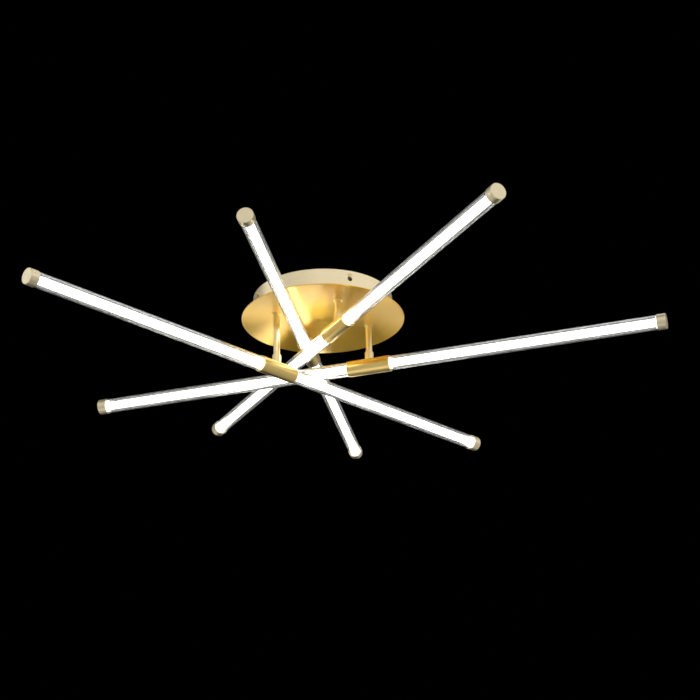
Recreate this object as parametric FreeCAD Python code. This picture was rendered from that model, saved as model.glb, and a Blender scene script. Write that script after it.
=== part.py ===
import FreeCAD
import Part
import math
import os

# Semi-flush ceiling light: a round brass canopy with four stems of different length,
# each carrying a straight crossbar of two lit glass tubes that swivels about its stem.
# Millimetres. Origin: centre of the ceiling bracket's top face, on the ceiling. +Z is up.

# ---- driving dimensions ----
PAN_RADIUS = 120.0
PAN_HEIGHT = 37.0
DISC_RADIUS = 140.0
STEM_CIRCLE_RADIUS = 83.0
FIRST_STEM_ANGLE = 18.0
BAR_LENGTH = 1024.0
HIGHEST_BAR_DROP = 62.8
BAR_STEP = 26.2
SLEEVE_LENGTH = 76.0
SLEEVE_RADIUS = 13.7
GLASS_RADIUS = 12.2
CAP_RADIUS = 13.2
CAP_LENGTH = 15.0

# ---- canopy ----
PAN_WALL = 1.2
PAN_CORNER = 1.5
DISC_THICKNESS = 1.6
DISC_EDGE_ROUND = 0.7
CANOPY_BOTTOM = -(PAN_HEIGHT + DISC_THICKNESS)
PAN_FLOOR_TOP = -PAN_HEIGHT + PAN_WALL

# ---- ceiling bracket and what it carries ----
BRACKET_THICKNESS = 1.5
BRACKET_HUB_RADIUS = 48.0
BRACKET_ARM_WIDTH = 22.0
BRACKET_BEND_ROUND = 1.35
EAR_FACE_RADIUS = 117.4
EAR_DEPTH = 13.0
CEILING_SLOT_SPACING = 64.0
CEILING_SLOT_LENGTH = 14.0
CEILING_SLOT_HALF_WIDTH = 2.6
CABLE_HOLE_RADIUS = 8.0
GROMMET_FLANGE_RADIUS = 11.0
GROMMET_BORE_RADIUS = 5.0
GROMMET_HEIGHT = 4.5
GROMMET_LIP_ROUND = 1.2
EARTH_SCREW_PLACE = (-24.0, 26.0)
EARTH_SCREW_HEAD_RADIUS = 3.6
EARTH_SCREW_HEAD_HEIGHT = 2.6

# ---- side screws in their keyholes ----
SIDE_SCREW_COUNT = 4
FIRST_SIDE_SCREW_ANGLE = 22.5
SIDE_SCREW_HEIGHT = -9.0
KEYHOLE_RADIUS = 4.2
KEYHOLE_SLOT_HALF_WIDTH = 2.5
KEYHOLE_DROP = 5.8
SIDE_SCREW_HEAD_RADIUS = 3.8
SIDE_SCREW_HEAD_HEIGHT = 2.6
SIDE_SCREW_SHANK_RADIUS = 2.0
SIDE_SCREW_SHANK_LENGTH = 9.0
THREAD_GAP = 0.05

# ---- shape of every screw head, as parts of its height or its radius ----
CROWN_ROUND = 0.6
RECESS_DEPTH = 0.45
RECESS_REACH = 0.55
RECESS_HALF_WIDTH = 0.13

# ---- driver and terminal block on the pan floor ----
DRIVER_SIZE = (118.0, 42.0, 21.0)
DRIVER_CORNER_ROUND = 3.0
DRIVER_TOP_ROUND = 1.5
DRIVER_TAB = (8.0, 16.0, 2.0)
DRIVER_TAB_ROOT = 2.0
DRIVER_PORT_RADIUS = 3.5
DRIVER_PORT_DEPTH = 4.0
DRIVER_PORT_FROM_SIDE = 9.0
DRIVER_PORT_HEIGHT = 12.0
DRIVER_SCREW_HEAD_RADIUS = 3.0
DRIVER_SCREW_HEAD_HEIGHT = 2.0
DRIVER_SCREW_SHANK_RADIUS = 1.5
TERMINAL_SIZE = (32.0, 17.0, 14.0)
TERMINAL_PLACE = (28.0, 50.0)
TERMINAL_WAYS = 3
TERMINAL_WIRE_RADIUS = 2.2
TERMINAL_WIRE_HEIGHT = 5.0
TERMINAL_SCREW_RADIUS = 1.8
TERMINAL_SCREW_DEPTH = 4.0
TERMINAL_GAP_WIDTH = 1.2
TERMINAL_GAP_DEPTH = 8.0

# ---- stems ----
ROD_RADIUS = 4.0
ROD_BORE_RADIUS = 2.8
ROD_ABOVE_FLOOR = 9.0
ROD_END_ABOVE_AXIS = 3.2
STEM_RADIUS = 5.4
STEM_BORE_RADIUS = 4.2
SHORTEST_STEM = 1.5
FLANGE_RADIUS = 8.0
FLANGE_HEIGHT = 2.2
FLANGE_ROUND = 0.5
COLLAR_RADIUS = 7.5
COLLAR_HEIGHT = 12.0
COLLAR_ROUND = 0.6
COLLAR_FOOT_DEPTH = 3.0
SWIVEL_GAP = 0.3
RUNNING_GAP = 0.05
NUT_ACROSS_FLATS = 12.5
NUT_HEIGHT = 4.8
WASHER_RADIUS = 8.0
WASHER_THICKNESS = 1.2
SWIVEL_WASHER_RADIUS = 6.0
SWIVEL_WASHER_TOP_ABOVE_AXIS = 10.3

# ---- crossbars ----
SLEEVE_BORE_RADIUS = 12.3
SLEEVE_EDGE = 0.4
GLASS_WALL = 1.8
GLASS_INNER_END = 18.2
CAP_BORE_RADIUS = 12.3
CAP_FLOOR = 3.0
CAP_EDGE = 0.7
CAP_SEAT_GAP = 0.2
GLASS_OUTER_END = BAR_LENGTH / 2 - CAP_FLOOR - CAP_SEAT_GAP
HOLDER_RADIUS = 10.3
HOLDER_LENGTH = 6.0
HOLDER_REACH = 1.5
HOLDER_WIRE_RADIUS = 1.2
HOLDER_WIRE_DROP = 3.6
FIT_GAP = 0.1
DIFFUSER_RADIUS = 6.5
DIFFUSER_WALL = 1.0
DIFFUSER_SEAT = 2.0
CORE_HALF_WIDTH = 4.2
CORE_HALF_HEIGHT = 1.2
LED_BOARD_HALF_WIDTH = 4.0
LED_BOARD_THICKNESS = 1.0
LED_BOARD_SET_BACK = 1.0
LED_PITCH = 15.0
LED_SIZE = (3.5, 2.8, 0.7)

# Each crossbar from the lowest to the highest: the quarter of the stem circle that its
# stem stands on, the direction it points in degrees from +X, and its level.
CROSSBARS = {
    "bar_1": {"stem_quarter": 2, "direction": 45.0, "level": 3},
    "bar_2": {"stem_quarter": 0, "direction": 160.5, "level": 2},
    "bar_3": {"stem_quarter": 3, "direction": 116.5, "level": 1},
    "bar_4": {"stem_quarter": 1, "direction": 80.0, "level": 0},
}

UP = FreeCAD.Vector(0, 0, 1)
ALONG_X = FreeCAD.Vector(1, 0, 0)
CENTRE = FreeCAD.Vector(0, 0, 0)
NEAR = 0.01


def point(x, y, z):
    return FreeCAD.Vector(x, y, z)


def block(low, high):
    size = [high[i] - low[i] for i in range(3)]
    return Part.makeBox(size[0], size[1], size[2], point(*low))


def ring(outer, inner, height, base, axis=UP):
    return Part.makeCylinder(outer, height, base, axis).cut(Part.makeCylinder(inner, height, base, axis))


def prism(corners, height):
    loop = Part.makePolygon(corners + [corners[0]])
    return Part.Face(loop).extrude(point(0, 0, height))


def hex_nut(across_flats, height, bore, base):
    corner = across_flats / math.sqrt(3)
    corners = []
    for side in range(6):
        angle = math.radians(60 * side)
        corners.append(base + point(corner * math.cos(angle), corner * math.sin(angle), 0))
    nut = prism(corners, height)
    return nut.cut(Part.makeCylinder(bore, height, base))


def obround(length, half_width, height, centre):
    """An upright slot cutter, rounded at both ends, running along X."""
    reach = length / 2 - half_width
    bar = block((centre.x - reach, centre.y - half_width, centre.z),
                (centre.x + reach, centre.y + half_width, centre.z + height))
    ends = [Part.makeCylinder(half_width, height, centre + point(side * reach, 0, 0)) for side in (-1, 1)]
    return bar.multiFuse(ends).removeSplitter()


def rims(shape, axis, level):
    """The full-circle edges of a shape whose centre lies at a level along x or z."""
    return [edge for edge in shape.Edges
            if len(edge.Vertexes) == 1 and abs(getattr(edge.CenterOfMass, axis) - level) < NEAR]


def turned(shape, degrees):
    copy = shape.copy()
    copy.rotate(CENTRE, UP, degrees)
    return copy


def save(name, shapes):
    shape = shapes[0] if len(shapes) == 1 else Part.makeCompound(shapes)
    shape.exportStep("parts/" + name + ".step")


def stem_place(bar):
    angle = math.radians(FIRST_STEM_ANGLE + 90 * bar["stem_quarter"])
    return point(STEM_CIRCLE_RADIUS * math.cos(angle), STEM_CIRCLE_RADIUS * math.sin(angle), 0)


def axis_height(bar):
    return -HIGHEST_BAR_DROP - BAR_STEP * bar["level"]


def collar_height(bar):
    """The highest bar hangs so close to the canopy that its collar is shorter."""
    room = CANOPY_BOTTOM - (axis_height(bar) + SLEEVE_RADIUS)
    return min(COLLAR_HEIGHT, room - FLANGE_HEIGHT - SHORTEST_STEM)


def collar_top(bar):
    return axis_height(bar) + SLEEVE_RADIUS + collar_height(bar)


def on_bar(shape, bar):
    """Moves a shape from a bar's own frame, X along the bar, to its place under its stem."""
    placed = turned(shape, bar["direction"])
    placed.translate(stem_place(bar) + point(0, 0, axis_height(bar)))
    return placed


def both_ends(shape):
    return [shape, turned(shape, 180)]


# ---- canopy pieces ----

def side_angles():
    return [FIRST_SIDE_SCREW_ANGLE + index * 360 / SIDE_SCREW_COUNT for index in range(SIDE_SCREW_COUNT)]


def ceiling_bracket():
    depth = 3 * BRACKET_THICKNESS
    below = -2 * BRACKET_THICKNESS
    hub = Part.makeCylinder(BRACKET_HUB_RADIUS, BRACKET_THICKNESS, point(0, 0, -BRACKET_THICKNESS))
    half = BRACKET_ARM_WIDTH / 2
    ear_inner = EAR_FACE_RADIUS - BRACKET_THICKNESS
    arm = block((0, -half, -BRACKET_THICKNESS), (EAR_FACE_RADIUS, half, 0))
    ear = block((ear_inner, -half, -EAR_DEPTH), (EAR_FACE_RADIUS, half, 0))
    hole = Part.makeCylinder(SIDE_SCREW_SHANK_RADIUS + THREAD_GAP, 4 * BRACKET_THICKNESS,
                             point(ear_inner - BRACKET_THICKNESS, 0, SIDE_SCREW_HEIGHT), ALONG_X)
    bent_arm = arm.fuse(ear).removeSplitter().cut(hole)
    outer_bend = [edge for edge in bent_arm.Edges
                  if abs(edge.CenterOfMass.x - EAR_FACE_RADIUS) < NEAR and abs(edge.CenterOfMass.z) < NEAR]
    bent_arm = bent_arm.makeFillet(BRACKET_BEND_ROUND, outer_bend)
    plate = hub.multiFuse([turned(bent_arm, angle) for angle in side_angles()]).removeSplitter()
    earth_place = point(*EARTH_SCREW_PLACE, below)
    cutters = [Part.makeCylinder(CABLE_HOLE_RADIUS, depth, point(0, 0, below)),
               Part.makeCylinder(SIDE_SCREW_SHANK_RADIUS + THREAD_GAP, depth, earth_place)]
    for side in (-1, 1):
        centre = point(side * CEILING_SLOT_SPACING / 2, 0, below)
        cutters.append(obround(CEILING_SLOT_LENGTH, CEILING_SLOT_HALF_WIDTH, depth, centre))
    for cutter in cutters:
        plate = plate.cut(cutter)
    return plate


def canopy_pan():
    solid = Part.makeCylinder(PAN_RADIUS, PAN_HEIGHT, point(0, 0, -PAN_HEIGHT))
    solid = solid.makeFillet(PAN_CORNER, rims(solid, "z", -PAN_HEIGHT))
    inside = Part.makeCylinder(PAN_RADIUS - PAN_WALL, PAN_HEIGHT, point(0, 0, PAN_FLOOR_TOP))
    pan = solid.cut(inside)
    reach = 6 * PAN_WALL
    start = PAN_RADIUS - reach / 2
    entry = SIDE_SCREW_HEIGHT - KEYHOLE_DROP
    round_hole = Part.makeCylinder(KEYHOLE_RADIUS, reach, point(start, 0, entry), ALONG_X)
    slot_top = Part.makeCylinder(KEYHOLE_SLOT_HALF_WIDTH, reach, point(start, 0, SIDE_SCREW_HEIGHT), ALONG_X)
    slot = block((start, -KEYHOLE_SLOT_HALF_WIDTH, entry),
                 (start + reach, KEYHOLE_SLOT_HALF_WIDTH, SIDE_SCREW_HEIGHT))
    keyhole = round_hole.multiFuse([slot_top, slot])
    for angle in side_angles():
        pan = pan.cut(turned(keyhole, angle))
    for bar in CROSSBARS.values():
        pan = pan.cut(Part.makeCylinder(STEM_BORE_RADIUS, 4 * PAN_WALL,
                                        stem_place(bar) + point(0, 0, -PAN_HEIGHT - PAN_WALL)))
    for side in (-1, 1):
        pan = pan.cut(Part.makeCylinder(DRIVER_SCREW_SHANK_RADIUS + THREAD_GAP, 4 * PAN_WALL,
                                        point(side * driver_tab_centre(), 0, -PAN_HEIGHT - PAN_WALL)))
    return pan


def face_disc():
    disc = Part.makeCylinder(DISC_RADIUS, DISC_THICKNESS, point(0, 0, CANOPY_BOTTOM))
    both_rims = rims(disc, "z", CANOPY_BOTTOM) + rims(disc, "z", -PAN_HEIGHT)
    disc = disc.makeFillet(DISC_EDGE_ROUND, both_rims)
    for bar in CROSSBARS.values():
        disc = disc.cut(Part.makeCylinder(STEM_BORE_RADIUS, 4 * DISC_THICKNESS,
                                          stem_place(bar) + point(0, 0, CANOPY_BOTTOM - DISC_THICKNESS)))
    return disc


def domed_screw(head_radius, head_height, shank_radius, shank_length):
    """A cross-recessed screw along X: the shank runs to -X from the head's seat at the origin."""
    head = Part.makeCylinder(head_radius, head_height, CENTRE, ALONG_X)
    head = head.makeFillet(head_height * CROWN_ROUND, rims(head, "x", head_height))
    shank = Part.makeCylinder(shank_radius, shank_length, point(-shank_length, 0, 0), ALONG_X)
    screw = head.fuse(shank)
    reach = head_radius * RECESS_REACH
    thin = head_radius * RECESS_HALF_WIDTH
    low = head_height * (1 - RECESS_DEPTH)
    high = head_height * 2
    screw = screw.cut(block((low, -reach, -thin), (high, reach, thin)))
    return screw.cut(block((low, -thin, -reach), (high, thin, reach)))


def side_screws():
    """Their heads sit on the pan's wall, over the narrow tops of the keyholes."""
    screw = domed_screw(SIDE_SCREW_HEAD_RADIUS, SIDE_SCREW_HEAD_HEIGHT,
                        SIDE_SCREW_SHANK_RADIUS, SIDE_SCREW_SHANK_LENGTH)
    screw.translate(point(PAN_RADIUS, 0, SIDE_SCREW_HEIGHT))
    return [turned(screw, angle) for angle in side_angles()]


def downward(screw, place):
    """Turns a screw that points along X so that its head is up and its shank goes down."""
    copy = screw.copy()
    copy.rotate(CENTRE, point(0, 1, 0), -90)
    copy.translate(place)
    return copy


def earth_screw():
    screw = domed_screw(EARTH_SCREW_HEAD_RADIUS, EARTH_SCREW_HEAD_HEIGHT,
                        SIDE_SCREW_SHANK_RADIUS, BRACKET_THICKNESS)
    screw.rotate(CENTRE, point(0, 1, 0), 90)
    screw.translate(point(*EARTH_SCREW_PLACE, -BRACKET_THICKNESS))
    return screw


def cable_grommet():
    neck = Part.makeCylinder(CABLE_HOLE_RADIUS, BRACKET_THICKNESS, point(0, 0, -BRACKET_THICKNESS))
    flange = Part.makeCylinder(GROMMET_FLANGE_RADIUS, GROMMET_HEIGHT - BRACKET_THICKNESS,
                               point(0, 0, -GROMMET_HEIGHT))
    body = neck.fuse(flange.makeFillet(GROMMET_LIP_ROUND, rims(flange, "z", -GROMMET_HEIGHT)))
    return body.cut(Part.makeCylinder(GROMMET_BORE_RADIUS, GROMMET_HEIGHT, point(0, 0, -GROMMET_HEIGHT)))


def driver_tab_centre():
    return DRIVER_SIZE[0] / 2 + DRIVER_TAB[0] / 2


def led_driver():
    half_x, half_y = DRIVER_SIZE[0] / 2, DRIVER_SIZE[1] / 2
    base = PAN_FLOOR_TOP
    top = base + DRIVER_SIZE[2]
    tab_half = DRIVER_TAB[1] / 2
    case = block((-half_x, -half_y, base), (half_x, half_y, top))
    upright = [edge for edge in case.Edges if edge.BoundBox.ZLength > DRIVER_SIZE[2] - NEAR]
    case = case.makeFillet(DRIVER_CORNER_ROUND, upright)
    top_rim = [edge for edge in case.Edges if edge.BoundBox.ZMin > top - NEAR]
    case = case.makeFillet(DRIVER_TOP_ROUND, top_rim)
    for side in (-1, 1):
        near, far = sorted((side * (half_x - DRIVER_TAB_ROOT), side * (half_x + DRIVER_TAB[0])))
        tab = block((near, -tab_half, base), (far, tab_half, base + DRIVER_TAB[2]))
        case = case.fuse(tab)
        case = case.cut(Part.makeCylinder(DRIVER_SCREW_SHANK_RADIUS + THREAD_GAP, 3 * DRIVER_TAB[2],
                                          point(side * driver_tab_centre(), 0, base - DRIVER_TAB[2])))
        port_start = point(side * (half_x - DRIVER_PORT_DEPTH), DRIVER_PORT_FROM_SIDE - half_y,
                           base + DRIVER_PORT_HEIGHT)
        case = case.cut(Part.makeCylinder(DRIVER_PORT_RADIUS, 2 * DRIVER_PORT_DEPTH, port_start,
                                          point(side, 0, 0)))
    return case.removeSplitter()


def driver_screws():
    screw = domed_screw(DRIVER_SCREW_HEAD_RADIUS, DRIVER_SCREW_HEAD_HEIGHT,
                        DRIVER_SCREW_SHANK_RADIUS, DRIVER_TAB[2] + PAN_WALL)
    seat = PAN_FLOOR_TOP + DRIVER_TAB[2]
    return [downward(screw, point(side * driver_tab_centre(), 0, seat)) for side in (-1, 1)]


def terminal_block():
    x, y = TERMINAL_PLACE
    half_x, half_y = TERMINAL_SIZE[0] / 2, TERMINAL_SIZE[1] / 2
    base = PAN_FLOOR_TOP
    top = base + TERMINAL_SIZE[2]
    body = block((x - half_x, y - half_y, base), (x + half_x, y + half_y, top))
    way_pitch = TERMINAL_SIZE[0] / TERMINAL_WAYS
    for way in range(TERMINAL_WAYS):
        way_x = x - half_x + way_pitch * (way + 0.5)
        wire_start = point(way_x, y - half_y, base + TERMINAL_WIRE_HEIGHT)
        body = body.cut(Part.makeCylinder(TERMINAL_WIRE_RADIUS, TERMINAL_SIZE[1], wire_start,
                                          point(0, 1, 0)))
        for side in (-1, 1):
            screw_place = point(way_x, y + side * half_y / 2, top - TERMINAL_SCREW_DEPTH)
            body = body.cut(Part.makeCylinder(TERMINAL_SCREW_RADIUS, TERMINAL_SCREW_DEPTH, screw_place))
    for gap in range(1, TERMINAL_WAYS):
        gap_x = x - half_x + way_pitch * gap
        half_gap = TERMINAL_GAP_WIDTH / 2
        body = body.cut(block((gap_x - half_gap, y - half_y, top - TERMINAL_GAP_DEPTH),
                              (gap_x + half_gap, y + half_y, top)))
    return body


# ---- stem pieces ----

def stem_tube(bar):
    bottom = collar_top(bar) + SWIVEL_GAP
    base = stem_place(bar) + point(0, 0, bottom)
    return ring(STEM_RADIUS, STEM_BORE_RADIUS, CANOPY_BOTTOM - bottom, base)


def stem_rod(bar):
    bottom = axis_height(bar) + ROD_END_ABOVE_AXIS
    top = PAN_FLOOR_TOP + ROD_ABOVE_FLOOR
    return ring(ROD_RADIUS, ROD_BORE_RADIUS, top - bottom, stem_place(bar) + point(0, 0, bottom))


def stem_flange(bar):
    base = stem_place(bar) + point(0, 0, CANOPY_BOTTOM - FLANGE_HEIGHT)
    flange = Part.makeCylinder(FLANGE_RADIUS, FLANGE_HEIGHT, base)
    flange = flange.makeFillet(FLANGE_ROUND, rims(flange, "z", base.z))
    return flange.cut(Part.makeCylinder(STEM_RADIUS + RUNNING_GAP, FLANGE_HEIGHT, base))


def canopy_washer(bar):
    base = stem_place(bar) + point(0, 0, PAN_FLOOR_TOP)
    return ring(WASHER_RADIUS, STEM_BORE_RADIUS, WASHER_THICKNESS, base)


def canopy_nut(bar):
    base = stem_place(bar) + point(0, 0, PAN_FLOOR_TOP + WASHER_THICKNESS)
    return hex_nut(NUT_ACROSS_FLATS, NUT_HEIGHT, ROD_RADIUS + THREAD_GAP, base)


def swivel_washer(bar):
    top = axis_height(bar) + SWIVEL_WASHER_TOP_ABOVE_AXIS
    return ring(SWIVEL_WASHER_RADIUS, STEM_BORE_RADIUS, WASHER_THICKNESS,
                stem_place(bar) + point(0, 0, top - WASHER_THICKNESS))


def swivel_nut(bar):
    top = axis_height(bar) + SWIVEL_WASHER_TOP_ABOVE_AXIS - WASHER_THICKNESS
    return hex_nut(NUT_ACROSS_FLATS, NUT_HEIGHT, ROD_RADIUS + THREAD_GAP,
                   stem_place(bar) + point(0, 0, top - NUT_HEIGHT))


# ---- crossbar pieces, in the bar's own frame: X along the bar, origin under the stem ----

def sleeve():
    half = SLEEVE_LENGTH / 2
    outside = Part.makeCylinder(SLEEVE_RADIUS, SLEEVE_LENGTH, point(-half, 0, 0), ALONG_X)
    outside = outside.makeChamfer(SLEEVE_EDGE, rims(outside, "x", -half) + rims(outside, "x", half))
    tube = outside.cut(Part.makeCylinder(SLEEVE_BORE_RADIUS, SLEEVE_LENGTH, point(-half, 0, 0), ALONG_X))
    return tube.cut(Part.makeCylinder(ROD_RADIUS + RUNNING_GAP, 2 * SLEEVE_RADIUS, CENTRE))


def collar(height):
    """A short boss brazed on the sleeve, its foot shaped to the sleeve's round top."""
    top = SLEEVE_RADIUS + height
    foot = SLEEVE_RADIUS - COLLAR_FOOT_DEPTH
    boss = Part.makeCylinder(COLLAR_RADIUS, top - foot, point(0, 0, foot))
    boss = boss.makeFillet(COLLAR_ROUND, rims(boss, "z", top))
    sleeve_end = point(-SLEEVE_LENGTH / 2, 0, 0)
    boss = boss.cut(Part.makeCylinder(SLEEVE_RADIUS, SLEEVE_LENGTH, sleeve_end, ALONG_X))
    return boss.cut(Part.makeCylinder(ROD_RADIUS + RUNNING_GAP, top, CENTRE))


def glass_tube():
    return ring(GLASS_RADIUS, GLASS_RADIUS - GLASS_WALL, GLASS_OUTER_END - GLASS_INNER_END,
                point(GLASS_INNER_END, 0, 0), ALONG_X)


def end_cap():
    end = BAR_LENGTH / 2
    mouth = end - CAP_LENGTH
    cap = Part.makeCylinder(CAP_RADIUS, CAP_LENGTH, point(mouth, 0, 0), ALONG_X)
    cap = cap.makeChamfer(CAP_EDGE, rims(cap, "x", mouth) + rims(cap, "x", end))
    bore_depth = CAP_LENGTH - CAP_FLOOR
    return cap.cut(Part.makeCylinder(CAP_BORE_RADIUS, bore_depth, point(mouth, 0, 0), ALONG_X))


def holder_starts():
    """Each holder shows a little beyond the mouth of its sleeve or cap."""
    inner = SLEEVE_LENGTH / 2 + HOLDER_REACH - HOLDER_LENGTH
    outer = BAR_LENGTH / 2 - CAP_LENGTH - HOLDER_REACH
    return inner, outer


def core_block(start, length, gap):
    """A flat bar along the tube's axis, made larger all round by a gap."""
    half_width = CORE_HALF_WIDTH + gap
    half_height = CORE_HALF_HEIGHT + gap
    return block((start, -half_width, -half_height), (start + length, half_width, half_height))


def tube_holder(start, socket_start):
    """A disc that centres the flat core and holds one end of the diffuser in a shallow socket."""
    disc = Part.makeCylinder(HOLDER_RADIUS, HOLDER_LENGTH, point(start, 0, 0), ALONG_X)
    disc = disc.cut(core_block(start, HOLDER_LENGTH, FIT_GAP))
    socket = Part.makeCylinder(DIFFUSER_RADIUS + FIT_GAP, DIFFUSER_SEAT, point(socket_start, 0, 0), ALONG_X)
    wire_place = point(start, 0, -HOLDER_WIRE_DROP)
    wire_hole = Part.makeCylinder(HOLDER_WIRE_RADIUS, HOLDER_LENGTH, wire_place, ALONG_X)
    return disc.cut(socket).cut(wire_hole)


def tube_holders():
    inner, outer = holder_starts()
    return [tube_holder(inner, inner + HOLDER_LENGTH - DIFFUSER_SEAT), tube_holder(outer, outer)]


def led_core():
    """A flat aluminium bar that carries and cools a lit board on each of its faces."""
    inner, outer = holder_starts()
    return core_block(inner, outer + HOLDER_LENGTH - inner, 0)


def lit_span():
    inner, outer = holder_starts()
    return inner + HOLDER_LENGTH - DIFFUSER_SEAT + FIT_GAP, outer + DIFFUSER_SEAT - FIT_GAP


def diffuser():
    start, end = lit_span()
    return ring(DIFFUSER_RADIUS, DIFFUSER_RADIUS - DIFFUSER_WALL, end - start, point(start, 0, 0), ALONG_X)


def led_board():
    """The board on the core's upper face, with its row of chips."""
    start, end = lit_span()
    start += DIFFUSER_SEAT + LED_BOARD_SET_BACK
    end -= DIFFUSER_SEAT + LED_BOARD_SET_BACK
    top = CORE_HALF_HEIGHT + LED_BOARD_THICKNESS
    board = block((start, -LED_BOARD_HALF_WIDTH, CORE_HALF_HEIGHT), (end, LED_BOARD_HALF_WIDTH, top))
    chips = []
    for index in range(int((end - start) / LED_PITCH)):
        x = start + LED_PITCH * (index + 0.5)
        chips.append(block((x - LED_SIZE[0] / 2, -LED_SIZE[1] / 2, top),
                           (x + LED_SIZE[0] / 2, LED_SIZE[1] / 2, top + LED_SIZE[2])))
    return board.multiFuse(chips)


def both_faces(shape):
    """The shape and the same shape rolled half a turn about the bar's axis."""
    rolled = shape.copy()
    rolled.rotate(CENTRE, ALONG_X, 180)
    return [shape, rolled]


def main():
    os.makedirs("parts", exist_ok=True)
    bars = list(CROSSBARS.values())

    save("ceiling_bracket", [ceiling_bracket()])
    save("cable_grommet", [cable_grommet()])
    save("earth_screw", [earth_screw()])
    save("canopy_pan", [canopy_pan()])
    save("face_disc", [face_disc()])
    save("side_screws", side_screws())
    save("led_driver", [led_driver()])
    save("driver_screws", driver_screws())
    save("terminal_block", [terminal_block()])

    for number, bar in enumerate(bars, start=1):
        save("stem_tube_%d" % number, [stem_tube(bar)])
    save("stem_rods", [stem_rod(bar) for bar in bars])
    save("stem_flanges", [stem_flange(bar) for bar in bars])
    save("canopy_washers", [canopy_washer(bar) for bar in bars])
    save("canopy_nuts", [canopy_nut(bar) for bar in bars])
    save("swivel_washers", [swivel_washer(bar) for bar in bars])
    save("swivel_nuts", [swivel_nut(bar) for bar in bars])

    glass = both_ends(glass_tube())
    caps = both_ends(end_cap())
    holders = [holder for one_end in tube_holders() for holder in both_ends(one_end)]
    boards = [board for face in both_faces(led_board()) for board in both_ends(face)]
    for name, bar in CROSSBARS.items():
        save(name + "_sleeve", [on_bar(sleeve(), bar)])
        save(name + "_collar", [on_bar(collar(collar_height(bar)), bar)])
        for letter, tube, cap in zip("ab", glass, caps):
            save(name + "_glass_" + letter, [on_bar(tube, bar)])
            save(name + "_cap_" + letter, [on_bar(cap, bar)])
        save(name + "_diffusers", [on_bar(piece, bar) for piece in both_ends(diffuser())])
        save(name + "_led_cores", [on_bar(piece, bar) for piece in both_ends(led_core())])
        save(name + "_led_boards", [on_bar(board, bar) for board in boards])
        save(name + "_tube_holders", [on_bar(piece, bar) for piece in holders])


main()
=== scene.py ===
import math

import bmesh
import bpy
from mathutils import Matrix, Vector


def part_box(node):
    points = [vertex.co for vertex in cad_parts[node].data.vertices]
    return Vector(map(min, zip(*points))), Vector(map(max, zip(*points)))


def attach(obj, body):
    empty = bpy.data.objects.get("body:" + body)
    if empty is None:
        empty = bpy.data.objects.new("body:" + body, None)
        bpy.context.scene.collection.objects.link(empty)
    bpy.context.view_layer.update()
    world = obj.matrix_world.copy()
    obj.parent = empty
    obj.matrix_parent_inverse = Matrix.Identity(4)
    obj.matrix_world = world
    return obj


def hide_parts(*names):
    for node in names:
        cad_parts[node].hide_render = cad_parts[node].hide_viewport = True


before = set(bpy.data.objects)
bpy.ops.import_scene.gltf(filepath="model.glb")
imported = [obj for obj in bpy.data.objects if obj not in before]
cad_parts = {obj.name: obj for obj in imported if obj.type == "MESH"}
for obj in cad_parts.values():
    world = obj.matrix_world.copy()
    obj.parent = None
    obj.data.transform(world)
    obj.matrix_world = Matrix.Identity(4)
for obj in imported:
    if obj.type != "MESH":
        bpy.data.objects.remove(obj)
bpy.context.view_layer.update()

# A semi-flush ceiling light: brass canopy, four stems and four crossbars of lit glass tube.
# Metres, in the frame's own axes: the ceiling is the plane z = 0 and +Z is up.

BARS = ("bar_1", "bar_2", "bar_3", "bar_4")

# Finer sizes than a node's box can tell, all in metres.
SLEEVE_LENGTH = 0.076
SLEEVE_WALL = 0.0014
CAP_LENGTH = 0.015
CAP_FLOOR = 0.003
GLASS_WALL = 0.0018
CAP_WALL = 0.0009
GLASS_START = 0.0182
GLASS_SEAT_GAP = 0.0002
DIFFUSER_OVERLAP = 0.0004
DIFFUSER_WALL = 0.001
STEM_BORE_RADIUS = 0.0042
ROD_RADIUS = 0.004
FLANGE_RADIUS = 0.008
FLANGE_ROUND = 0.0005
RUNNING_GAP = 0.00005
EDGE_ROUND = 0.0006
THIN_EDGE_ROUND = EDGE_ROUND / 2
CAP_EDGE_ROUND = 0.001
DISC_EDGE_ROUND = 0.0007
AXIS_TOLERANCE = 1e-7

# A corner's arc takes at most this share of a side, and its support point lies this much further on.
ARC_SHARE = 0.3
SUPPORT_SHARE = 0.4

# Steps round a form's axis, and the steepest turn between faces that still shades as smooth.
DISC_TURNS = 360
BAR_TURNS = 96
STEM_TURNS = 64
DISC_CORNER_STEPS = 6
CREASE_DEGREES = 35.0

# Camera, at the viewing angle of someone in the room who looks up at the light.
CAMERA_PLACE = (0.0031, -2.7237, -1.3148)
CAMERA_YAW = 0.894
CAMERA_PITCH = 24.113
CAMERA_ROLL = -1.034
CAMERA_LENS_MM = 89.73

# The dome's share of light by direction: from one height or side to another, from one share to another.
DOME_COLOUR = (1.0, 0.985, 0.96, 1.0)
BEHIND_FALL = (0.75, 0.1, 0.2, 1.0)
LEFT_FALL = (-0.75, -0.1, 0.72, 1.0)
ZENITH_FALL = (0.6, 0.95, 1.0, 0.2)
BELOW_FALL = (0.75, 0.25, 0.0, 0.6)
HORIZON = (-0.1, 0.15, 0.0, 1.0)

# Round lamps: name, place, width and watts. All look at the middle of the light.
LAMPS = (
    ("key", (-0.9, -0.6, -2.6), 1.8, 8.0),
    ("side", (-2.6, 0.2, 0.9), 1.4, 2.5),
    ("top", (0.8, 0.6, 2.6), 2.4, 10.0),
)
LAMP_TARGET = (0, 0, -0.1)
LED_STRENGTH = 5.0
# Strength of the tube holders' glow: painted light, since they hold no lamp.
HOLDER_PAINTED_GLOW = 1.6
FLOOR_HEIGHT = -5.6
FLOOR_RADIUS = 5.0

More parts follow.
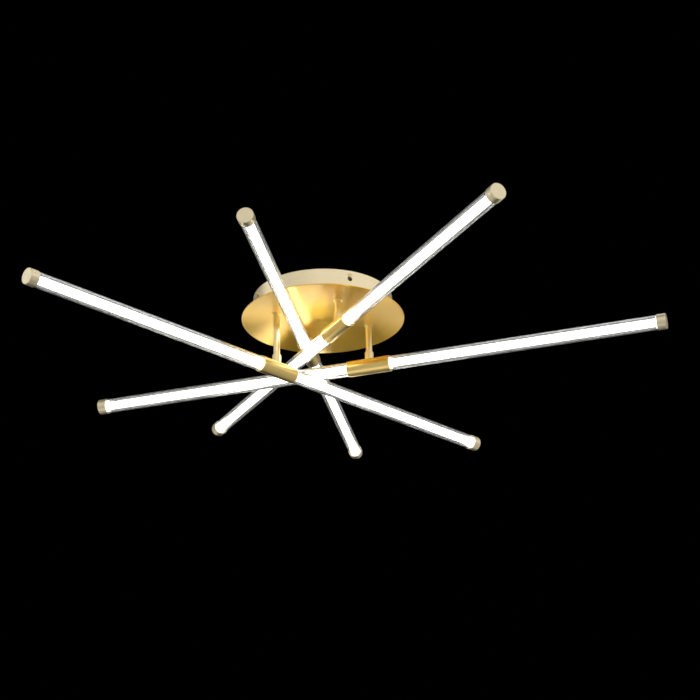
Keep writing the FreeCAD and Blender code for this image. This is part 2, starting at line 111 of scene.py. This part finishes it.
# Brushed finishes: marks per metre across and along the grain, the scale of the slow change of tone,
# the share of each in the pattern, the span of the pattern's values, and the least distance from the
# axis that circular marks are worked out with.
FINE_MARKS = (1500.0, 8.0)
COARSE_MARKS = (260.0, 4.0)
TONE_SCALE = 22.0
FINE_SHARE = 0.45
COARSE_SHARE = 0.35
TONE_SHARE = 0.2
MARK_SPAN = (0.3, 0.7)
LEAST_RADIUS = 1e-5
LACQUER_ROUGHNESS = 0.3
QUARTER_TURN = 0.25

# Moulded and plated finishes: the clouds' scale beside the grain's, the grain's share and the span.
CLOUD_TO_GRAIN = 0.08
GRAIN_SHARE = 0.6
GRAIN_SPAN = (0.35, 0.65)
RELIEF_DEPTH = 0.0002


# ---- meshes ----

def middle(node):
    low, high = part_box(node)
    return (low + high) / 2


def upright_radius(node):
    """Radius of a node that lies level: half its height."""
    low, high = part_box(node)
    return (high.z - low.z) / 2


def rounded(corners, radius, steps=4):
    """A closed outline of (along, out) points with each corner turned into a small arc.

    A support point beside each arc keeps the long faces shading flat right up to it.
    """
    outline = []
    for index, corner in enumerate(corners):
        here = Vector(corner)
        before = Vector(corners[index - 1]) - here
        after = Vector(corners[(index + 1) % len(corners)]) - here
        reach = min(radius, before.length * ARC_SHARE, after.length * ARC_SHARE)
        start = here + before.normalized() * reach
        end = here + after.normalized() * reach
        outline.append(start + before.normalized() * reach * SUPPORT_SHARE)
        for step in range(steps + 1):
            t = step / steps
            outline.append((1 - t) ** 2 * start + 2 * t * (1 - t) * here + t ** 2 * end)
        outline.append(end + after.normalized() * reach * SUPPORT_SHARE)
    return outline


def tube_wall(start, stop, bore, radius, edge):
    """The outline of a tube's wall between two places along its axis."""
    return rounded([(start, bore), (stop, bore), (stop, radius), (start, radius)], edge)


def upper_half(outline):
    """The half of an outline drawn on both sides of the axis, closed on the axis."""
    kept = [spot for spot in outline if spot[1] > 0]
    return [(kept[0][0], 0.0)] + kept + [(kept[-1][0], 0.0)]


def new_piece(name, mesh, placement, material, body, nodes):
    """Makes the mesh an object at its place, riding on a body and standing for its CAD nodes."""
    mesh.update()
    for face in mesh.polygons:
        face.use_smooth = True
    mesh.set_sharp_from_angle(angle=math.radians(CREASE_DEGREES))
    mesh.materials.append(material)
    piece = bpy.data.objects.new(name, mesh)
    bpy.context.scene.collection.objects.link(piece)
    piece.matrix_world = placement
    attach(piece, body)
    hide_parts(*nodes)
    return piece


def lathe(name, outline, turns):
    """Spins a closed (along, out) outline about X. Points on the axis are shared by all turns."""
    form = bmesh.new()
    rings = []
    for along, out in outline:
        if out < AXIS_TOLERANCE:
            rings.append([form.verts.new((along, 0, 0))] * turns)
            continue
        ring = []
        for turn in range(turns):
            angle = 2 * math.pi * turn / turns
            ring.append(form.verts.new((along, out * math.cos(angle), out * math.sin(angle))))
        rings.append(ring)
    for index, ring in enumerate(rings):
        following = rings[(index + 1) % len(rings)]
        for turn in range(turns):
            after = (turn + 1) % turns
            loop = []
            for corner in (ring[turn], ring[after], following[after], following[turn]):
                if corner not in loop:
                    loop.append(corner)
            if len(loop) > 2:
                form.faces.new(loop)
    bmesh.ops.recalc_face_normals(form, faces=form.faces)
    mesh = bpy.data.meshes.new(name)
    form.to_mesh(mesh)
    form.free()
    return mesh


def drilled(mesh, radius, depth):
    """The same form with a round upright hole from its middle out through its top."""
    form = bmesh.new()
    bmesh.ops.create_cone(form, cap_ends=True, segments=STEM_TURNS, radius1=radius, radius2=radius,
                          depth=depth, matrix=Matrix.Translation((0, 0, depth / 2)))
    hole_mesh = bpy.data.meshes.new("hole_form")
    form.to_mesh(hole_mesh)
    form.free()
    whole = bpy.data.objects.new("whole", mesh)
    hole = bpy.data.objects.new("hole", hole_mesh)
    for helper in (whole, hole):
        bpy.context.scene.collection.objects.link(helper)
    cut = whole.modifiers.new("cut", "BOOLEAN")
    cut.operation = "DIFFERENCE"
    cut.solver = "EXACT"
    cut.object = hole
    ready = whole.evaluated_get(bpy.context.evaluated_depsgraph_get())
    with_hole = bpy.data.meshes.new_from_object(ready)
    for helper in (whole, hole):
        bpy.data.objects.remove(helper)
    for spare in (mesh, hole_mesh):
        bpy.data.meshes.remove(spare)
    return with_hole


# ---- materials ----

def new_material(name):
    material = bpy.data.materials.new(name)
    material.use_nodes = True
    tree = material.node_tree
    shader = tree.nodes["Principled BSDF"]
    return material, tree, shader


def add(tree, kind, **values):
    made = tree.nodes.new(kind)
    for key, value in values.items():
        setattr(made, key, value)
    return made


def math_node(tree, operation, first, second=None):
    made = add(tree, "ShaderNodeMath", operation=operation)
    for socket, value in zip(made.inputs, (first, second)):
        if value is None:
            continue
        if isinstance(value, (int, float)):
            socket.default_value = value
        else:
            tree.links.new(value, socket)
    return made.outputs[0]


def object_place(tree):
    return add(tree, "ShaderNodeTexCoord").outputs["Object"]


def combined(tree, x, y, z):
    made = add(tree, "ShaderNodeCombineXYZ")
    for socket, value in zip(made.inputs, (x, y, z)):
        if isinstance(value, (int, float)):
            socket.default_value = value
        else:
            tree.links.new(value, socket)
    return made.outputs[0]


def noise(tree, vector, scale, detail, roughness=0.6):
    made = add(tree, "ShaderNodeTexNoise")
    made.inputs["Scale"].default_value = scale
    made.inputs["Detail"].default_value = detail
    made.inputs["Roughness"].default_value = roughness
    tree.links.new(vector, made.inputs["Vector"])
    return made.outputs["Fac"]


def ranged(tree, value, low, high, to_low, to_high):
    made = add(tree, "ShaderNodeMapRange")
    tree.links.new(value, made.inputs["Value"])
    for key, number in (("From Min", low), ("From Max", high), ("To Min", to_low), ("To Max", to_high)):
        made.inputs[key].default_value = number
    return made.outputs["Result"]


def mixed_colour(tree, factor, first, second):
    made = add(tree, "ShaderNodeMix", data_type="RGBA")
    sockets = {socket.identifier: socket for socket in (*made.inputs, *made.outputs)}
    tree.links.new(factor, sockets["Factor_Float"])
    sockets["A_Color"].default_value = (*first, 1.0)
    sockets["B_Color"].default_value = (*second, 1.0)
    return sockets["Result_Color"]


def add_relief(tree, shader, height, strength):
    relief = add(tree, "ShaderNodeBump")
    relief.inputs["Strength"].default_value = strength
    relief.inputs["Distance"].default_value = RELIEF_DEPTH
    tree.links.new(height, relief.inputs["Height"])
    tree.links.new(relief.outputs[0], shader.inputs["Normal"])


def grain_vector(tree, pattern, fine, slow):
    """Coordinates that vary quickly across the brush marks and slowly along them."""
    parts = add(tree, "ShaderNodeSeparateXYZ")
    tree.links.new(object_place(tree), parts.inputs[0])
    x, y, z = parts.outputs
    if pattern == "along_x":
        return combined(tree, math_node(tree, "MULTIPLY", x, slow), math_node(tree, "MULTIPLY", y, fine),
                        math_node(tree, "MULTIPLY", z, fine))
    if pattern == "along_z":
        return combined(tree, math_node(tree, "MULTIPLY", x, fine), math_node(tree, "MULTIPLY", y, fine),
                        math_node(tree, "MULTIPLY", z, slow))
    first, second, third = (x, y, z) if pattern == "round_z" else (y, z, x)
    squares = math_node(tree, "ADD", math_node(tree, "MULTIPLY", first, first),
                        math_node(tree, "MULTIPLY", second, second))
    radius = math_node(tree, "MAXIMUM", math_node(tree, "SQRT", squares), LEAST_RADIUS)
    across = math_node(tree, "MULTIPLY", math_node(tree, "ADD", radius, third), fine)
    return combined(tree, across, math_node(tree, "DIVIDE", first, radius),
                    math_node(tree, "DIVIDE", second, radius))


def brushed(name, pattern, light, dark, rough, anisotropy, tangent=None, turn=0.0, bump=0.03, lacquer=0.0):
    """Brushed metal: fine marks in colour, roughness and relief, over slow changes of tone."""
    material, tree, shader = new_material(name)
    fine = noise(tree, grain_vector(tree, pattern, *FINE_MARKS), 1.0, 3.0)
    coarse = noise(tree, grain_vector(tree, pattern, *COARSE_MARKS), 1.0, 2.0)
    tone = noise(tree, object_place(tree), TONE_SCALE, 3.0)
    marks = math_node(tree, "ADD", math_node(tree, "MULTIPLY", fine, FINE_SHARE),
                      math_node(tree, "MULTIPLY", coarse, COARSE_SHARE))
    marks = math_node(tree, "ADD", marks, math_node(tree, "MULTIPLY", tone, TONE_SHARE))
    colour = mixed_colour(tree, ranged(tree, marks, *MARK_SPAN, 0.0, 1.0), dark, light)
    tree.links.new(colour, shader.inputs["Base Color"])
    tree.links.new(ranged(tree, marks, *MARK_SPAN, rough[1], rough[0]), shader.inputs["Roughness"])
    shader.inputs["Metallic"].default_value = 1.0
    shader.inputs["Anisotropic"].default_value = anisotropy
    shader.inputs["Anisotropic Rotation"].default_value = turn
    shader.inputs["Coat Weight"].default_value = lacquer
    shader.inputs["Coat Roughness"].default_value = LACQUER_ROUGHNESS
    if tangent:
        direction = add(tree, "ShaderNodeTangent", direction_type="RADIAL", axis=tangent)
        tree.links.new(direction.outputs[0], shader.inputs["Tangent"])
    add_relief(tree, shader, marks, bump)
    return material


def mottled(name, light, dark, scale, rough, metallic, bump):
    """A plain moulded or plated finish: a fine grain in tone, roughness and relief."""
    material, tree, shader = new_material(name)
    place = object_place(tree)
    grain = noise(tree, place, scale, 4.0)
    cloud = noise(tree, place, scale * CLOUD_TO_GRAIN, 2.0)
    both = math_node(tree, "ADD", math_node(tree, "MULTIPLY", grain, GRAIN_SHARE),
                     math_node(tree, "MULTIPLY", cloud, 1.0 - GRAIN_SHARE))
    colour = mixed_colour(tree, ranged(tree, both, *GRAIN_SPAN, 0.0, 1.0), dark, light)
    tree.links.new(colour, shader.inputs["Base Color"])
    tree.links.new(ranged(tree, both, *GRAIN_SPAN, rough[0], rough[1]), shader.inputs["Roughness"])
    shader.inputs["Metallic"].default_value = metallic
    add_relief(tree, shader, grain, bump)
    return material


def clear_glass():
    """Clear tube glass. It casts no shadow, so light reaches through it from both sides."""
    material, tree, shader = new_material("clear_tube_glass")
    haze = noise(tree, object_place(tree), 60.0, 3.0)
    colour = mixed_colour(tree, ranged(tree, haze, *MARK_SPAN, 0.0, 1.0), (0.93, 0.95, 0.95),
                          (0.97, 0.98, 0.98))
    tree.links.new(colour, shader.inputs["Base Color"])
    tree.links.new(ranged(tree, haze, *MARK_SPAN, 0.0, 0.03), shader.inputs["Roughness"])
    shader.inputs["Transmission Weight"].default_value = 0.94
    shader.inputs["IOR"].default_value = 1.47
    ray = add(tree, "ShaderNodeLightPath")
    passing = add(tree, "ShaderNodeBsdfTransparent")
    choice = add(tree, "ShaderNodeMixShader")
    tree.links.new(ray.outputs["Is Shadow Ray"], choice.inputs[0])
    tree.links.new(shader.outputs[0], choice.inputs[1])
    tree.links.new(passing.outputs[0], choice.inputs[2])
    tree.links.new(choice.outputs[0], tree.nodes["Material Output"].inputs["Surface"])
    return material


def lit_opal(name, strength):
    """Opal white lit from inside, a little warmer in some places than in others. On the tube holders,
    which hold no lamp, the glow is painted light.
    """
    material, tree, shader = new_material(name)
    cloud = noise(tree, object_place(tree), 30.0, 2.0)
    colour = mixed_colour(tree, cloud, (1.0, 0.955, 0.87), (1.0, 0.975, 0.91))
    tree.links.new(colour, shader.inputs["Emission Color"])
    tree.links.new(colour, shader.inputs["Base Color"])
    shader.inputs["Emission Strength"].default_value = strength
    shader.inputs["Roughness"].default_value = 0.35
    return material


PALE_BRASS = ((0.85, 0.72, 0.40), (0.74, 0.61, 0.31))
DISC_BRASS = brushed("circle_brushed_brass", "round_z", (0.88, 0.555, 0.06), (0.80, 0.48, 0.035),
                     (0.39, 0.47), 0.65, tangent="Z", turn=QUARTER_TURN, lacquer=1.0)
# The wall's brass is painted paler and less yellow than the disc's: painted highlight, the washed-out tone
# of the brightly lit wall put into its colour.
WALL_BRASS_PAINTED_HIGHLIGHT = brushed("level_brushed_brass_painted_highlight", "round_z", (0.92, 0.80, 0.54), (0.86, 0.73, 0.47),
                     (0.34, 0.42), 0.5, tangent="Z", turn=QUARTER_TURN)
BAR_BRASS = brushed("length_brushed_brass", "along_x", (0.78, 0.59, 0.23), (0.68, 0.50, 0.16),
                    (0.26, 0.34), 0.2, tangent="X")
CAP_BRASS = brushed("turned_brass", "round_x", (0.79, 0.70, 0.48), (0.69, 0.59, 0.39), (0.28, 0.36), 0.3,
                    tangent="X", turn=QUARTER_TURN)
STEM_BRASS = brushed("stem_brass", "along_x", *PALE_BRASS, (0.28, 0.36), 0.6, tangent="X")
COLLAR_BRASS = brushed("collar_brass", "along_z", *PALE_BRASS, (0.28, 0.36), 0.6, tangent="Z")
BARE_ALUMINIUM = brushed("drawn_aluminium", "along_x", (0.80, 0.81, 0.82), (0.62, 0.63, 0.65),
                         (0.30, 0.45), 0.3, bump=0.15)
# Zinc plate painted darker than bare zinc: painted shade, for the shade the ceiling casts inside the
# canopy pan.
ZINC_STEEL_PAINTED_SHADE = mottled("zinc_plate_painted_shade", (0.44, 0.43, 0.40), (0.32, 0.31, 0.29), 240.0, (0.22, 0.42), 1.0, 0.12)
WHITE_PLASTIC = mottled("white_moulding", (0.86, 0.86, 0.84), (0.78, 0.78, 0.76), 900.0,
                        (0.38, 0.52), 0.0, 0.10)
BLACK_RUBBER = mottled("black_rubber", (0.035, 0.035, 0.037), (0.018, 0.018, 0.019), 1100.0,
                       (0.62, 0.78), 0.0, 0.2)
LED_BOARD = mottled("white_board", (0.90, 0.90, 0.87), (0.80, 0.80, 0.75), 500.0, (0.30, 0.45), 0.0, 0.08)
CLEAR_GLASS = clear_glass()
LIT_OPAL = lit_opal("lit_opal", LED_STRENGTH)
# The tube holders glow with painted light, standing for the LED light that falls on them.
PAINTED_GLOW_HOLDER = lit_opal("painted_glow_holder", HOLDER_PAINTED_GLOW)
PALE_FLOOR = mottled("pale_floor", (0.70, 0.69, 0.67), (0.66, 0.65, 0.63), 3.0, (0.7, 0.8), 0.0, 0.0)


# ---- canopy ----

def face_disc():
    low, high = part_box("face_disc")
    radius = (high.x - low.x) / 2
    outline = rounded([(low.z, -radius), (low.z, radius), (high.z, radius), (high.z, -radius)],
                      DISC_EDGE_ROUND, DISC_CORNER_STEPS)
    mesh = lathe("face_disc_form", upper_half(outline), DISC_TURNS)
    mesh.transform(standing((0, 0, 0)))
    new_piece("face_disc_turned", mesh, Matrix.Identity(4), DISC_BRASS, "canopy",
              ["face_disc"])


def standing(place):
    """Placement that stands a form spun about X upright at a place."""
    return Matrix.Translation(place) @ Matrix.Rotation(-math.pi / 2, 4, "Y")


def stem(number):
    node = "stem_tube_%d" % number
    low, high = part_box(node)
    radius = (high.x - low.x) / 2
    outline = tube_wall(low.z, high.z, STEM_BORE_RADIUS, radius, THIN_EDGE_ROUND)
    place = (middle(node).x, middle(node).y, 0)
    new_piece(node + "_turned", lathe(node + "_form", outline, STEM_TURNS), standing(place), STEM_BRASS,
              "canopy", [node])


def stem_flanges():
    """Four rounded rings at the tops of the stems, joined in one form as they are one node."""
    low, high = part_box("stem_flanges")
    every = bmesh.new()
    for number in range(1, 5):
        tube_low, tube_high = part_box("stem_tube_%d" % number)
        bore = (tube_high.x - tube_low.x) / 2 + RUNNING_GAP
        centre = (tube_low + tube_high) / 2
        outline = tube_wall(low.z, high.z, bore, FLANGE_RADIUS, FLANGE_ROUND)
        mesh = lathe("flange_form", outline, STEM_TURNS)
        mesh.transform(standing((centre.x, centre.y, 0)))
        every.from_mesh(mesh)
        bpy.data.meshes.remove(mesh)
    mesh = bpy.data.meshes.new("stem_flanges_form")
    every.to_mesh(mesh)
    every.free()
    new_piece("stem_flanges_turned", mesh, Matrix.Identity(4), COLLAR_BRASS, "canopy",
              ["stem_flanges"])


# ---- crossbars, each built in its own frame: X along the bar, origin on its axis under the stem ----

def bar_frame(bar):
    near, far = middle(bar + "_cap_b"), middle(bar + "_cap_a")
    along = (far - near).normalized()
    up = Vector((0, 0, 1))
    across = up.cross(along)
    placement = Matrix((along, across, up)).transposed().to_4x4()
    placement.translation = (near + far) / 2
    return placement, (far - near).length / 2 + CAP_LENGTH / 2


def flipped(mesh, turned):
    """The mesh, turned to the bar's other half where that is asked for."""
    if turned:
        mesh.transform(Matrix.Rotation(math.pi, 4, "Z"))
    return mesh


def sleeve(bar, placement):
    radius = upright_radius(bar + "_sleeve")
    half = SLEEVE_LENGTH / 2
    outline = tube_wall(-half, half, radius - SLEEVE_WALL, radius, EDGE_ROUND)
    mesh = drilled(lathe(bar + "_sleeve_form", outline, BAR_TURNS), ROD_RADIUS + RUNNING_GAP, 2 * radius)
    new_piece(bar + "_sleeve_brushed", mesh, placement, BAR_BRASS, bar, [bar + "_sleeve"])


def end_cap(bar, placement, end, letter, turned):
    radius = upright_radius(bar + "_cap_" + letter)
    mouth = end - CAP_LENGTH
    floor = end - CAP_FLOOR
    bore = radius - CAP_WALL
    outline = rounded([(floor, -radius), (floor, bore), (mouth, bore), (mouth, radius), (end, radius),
                       (end, -radius)], CAP_EDGE_ROUND)
    mesh = flipped(lathe(bar + "_cap_form_" + letter, upper_half(outline), BAR_TURNS), turned)
    new_piece(bar + "_cap_turned_" + letter, mesh, placement, CAP_BRASS, bar,
              [bar + "_cap_" + letter])


def glass_tube(bar, placement, end, letter, turned):
    radius = upright_radius(bar + "_glass_" + letter)
    stop = end - CAP_FLOOR - GLASS_SEAT_GAP
    outline = tube_wall(GLASS_START, stop, radius - GLASS_WALL, radius, THIN_EDGE_ROUND)
    mesh = flipped(lathe(bar + "_glass_form_" + letter, outline, BAR_TURNS), turned)
    new_piece(bar + "_glass_clear_" + letter, mesh, placement, CLEAR_GLASS, bar,
              [bar + "_glass_" + letter])


def mirrored_pair(mesh):
    """Joins a form with the same form turned to the bar's other half."""
    other = flipped(mesh.copy(), True)
    both = bmesh.new()
    both.from_mesh(mesh)
    both.from_mesh(other)
    both.to_mesh(mesh)
    both.free()
    bpy.data.meshes.remove(other)
    return mesh


def diffusers(bar, placement, end):
    """Both opal tubes of a bar, joined in one form as they are one node."""
    radius = upright_radius(bar + "_diffusers")
    start = SLEEVE_LENGTH / 2 - DIFFUSER_OVERLAP
    stop = end - CAP_LENGTH + DIFFUSER_OVERLAP
    outline = tube_wall(start, stop, radius - DIFFUSER_WALL, radius, THIN_EDGE_ROUND)
    mesh = mirrored_pair(lathe(bar + "_diffuser_form", outline, STEM_TURNS))
    new_piece(bar + "_diffusers_lit", mesh, placement, LIT_OPAL, bar, [bar + "_diffusers"])


def crossbar(bar):
    placement, end = bar_frame(bar)
    sleeve(bar, placement)
    for letter, turned in (("a", False), ("b", True)):
        end_cap(bar, placement, end, letter, turned)
        glass_tube(bar, placement, end, letter, turned)
    diffusers(bar, placement, end)


# ---- finishes of the pieces that keep their CAD shape ----

def finish_node(node, material):
    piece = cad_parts[node]
    for slot in piece.material_slots:
        slot.material = material


def finish_nodes():
    # The pan's wall, in brass with painted highlight in its colour.
    finish_node("canopy_pan", WALL_BRASS_PAINTED_HIGHLIGHT)
    finish_node("side_screws", COLLAR_BRASS)
    # The steel parts, in zinc plate darkened with painted shade.
    for node in ("ceiling_bracket", "earth_screw", "driver_screws", "stem_rods", "canopy_washers",
                 "canopy_nuts", "swivel_washers", "swivel_nuts"):
        finish_node(node, ZINC_STEEL_PAINTED_SHADE)
    for node in ("led_driver", "terminal_block"):
        finish_node(node, WHITE_PLASTIC)
    finish_node("cable_grommet", BLACK_RUBBER)
    for bar in BARS:
        finish_node(bar + "_collar", COLLAR_BRASS)
        finish_node(bar + "_led_cores", BARE_ALUMINIUM)
        finish_node(bar + "_led_boards", LED_BOARD)
        # The tube holders get a glow of painted light.
        finish_node(bar + "_tube_holders", PAINTED_GLOW_HOLDER)


# ---- stage, light and camera ----

def pale_floor():
    form = bmesh.new()
    bmesh.ops.create_circle(form, cap_ends=True, segments=BAR_TURNS, radius=FLOOR_RADIUS)
    mesh = bpy.data.meshes.new("floor_form")
    form.to_mesh(mesh)
    form.free()
    mesh.materials.append(PALE_FLOOR)
    floor = bpy.data.objects.new("floor", mesh)
    floor.location.z = FLOOR_HEIGHT
    bpy.context.scene.collection.objects.link(floor)


def soft_lamp(name, place, width, watts):
    lamp = bpy.data.lights.new(name, "AREA")
    lamp.shape = "DISK"
    lamp.size = width
    lamp.energy = watts
    holder = bpy.data.objects.new(name, lamp)
    holder.location = place
    holder.rotation_mode = "QUATERNION"
    holder.rotation_quaternion = (Vector(LAMP_TARGET) - Vector(place)).to_track_quat("-Z", "Y")
    holder.visible_camera = False
    bpy.context.scene.collection.objects.link(holder)


def studio_world():
    """A soft dome over the viewer's side of the room. It shines on the object but isn't seen itself."""
    world = bpy.data.worlds.new("studio")
    bpy.context.scene.world = world
    world.use_nodes = True
    tree = world.node_tree
    background = tree.nodes["Background"]
    place = add(tree, "ShaderNodeTexCoord").outputs["Generated"]
    parts = add(tree, "ShaderNodeSeparateXYZ")
    tree.links.new(place, parts.inputs[0])
    x, y, z = parts.outputs
    above = ranged(tree, y, *BEHIND_FALL)
    above = math_node(tree, "MULTIPLY", above, ranged(tree, x, *LEFT_FALL))
    above = math_node(tree, "MULTIPLY", above, ranged(tree, z, *ZENITH_FALL))
    aside = math_node(tree, "ABSOLUTE", x)
    below = ranged(tree, math_node(tree, "SUBTRACT", y, aside), *BELOW_FALL)
    level = ranged(tree, z, *HORIZON)
    rest = math_node(tree, "SUBTRACT", 1.0, level)
    strength = math_node(tree, "ADD", math_node(tree, "MULTIPLY", above, level),
                         math_node(tree, "MULTIPLY", below, rest))
    tree.links.new(strength, background.inputs["Strength"])
    background.inputs["Color"].default_value = DOME_COLOUR
    world.cycles_visibility.camera = False
    world.cycles_visibility.transmission = False


def viewer_camera():
    """Yaw turns right from +Y, pitch is above the horizon and roll turns the picture."""
    yaw, pitch, roll = (math.radians(value) for value in (CAMERA_YAW, CAMERA_PITCH, CAMERA_ROLL))
    ahead = Vector((math.sin(yaw) * math.cos(pitch), math.cos(yaw) * math.cos(pitch), math.sin(pitch)))
    right = Vector((math.cos(yaw), -math.sin(yaw), 0.0))
    up = right.cross(ahead)
    turned_right = math.cos(roll) * right + math.sin(roll) * up
    turned_up = math.cos(roll) * up - math.sin(roll) * right
    camera = bpy.data.cameras.new("camera")
    camera.lens = CAMERA_LENS_MM
    camera.clip_end = 100.0
    holder = bpy.data.objects.new("camera", camera)
    placement = Matrix((turned_right, turned_up, -ahead)).transposed().to_4x4()
    placement.translation = CAMERA_PLACE
    holder.matrix_world = placement
    bpy.context.scene.collection.objects.link(holder)
    bpy.context.scene.camera = holder


viewer_camera()
face_disc()
stem_flanges()
for number, bar in enumerate(BARS, start=1):
    stem(number)
    crossbar(bar)
finish_nodes()
pale_floor()
studio_world()
for lamp_facts in LAMPS:
    soft_lamp(*lamp_facts)
bpy.context.scene.view_settings.view_transform = "Standard"
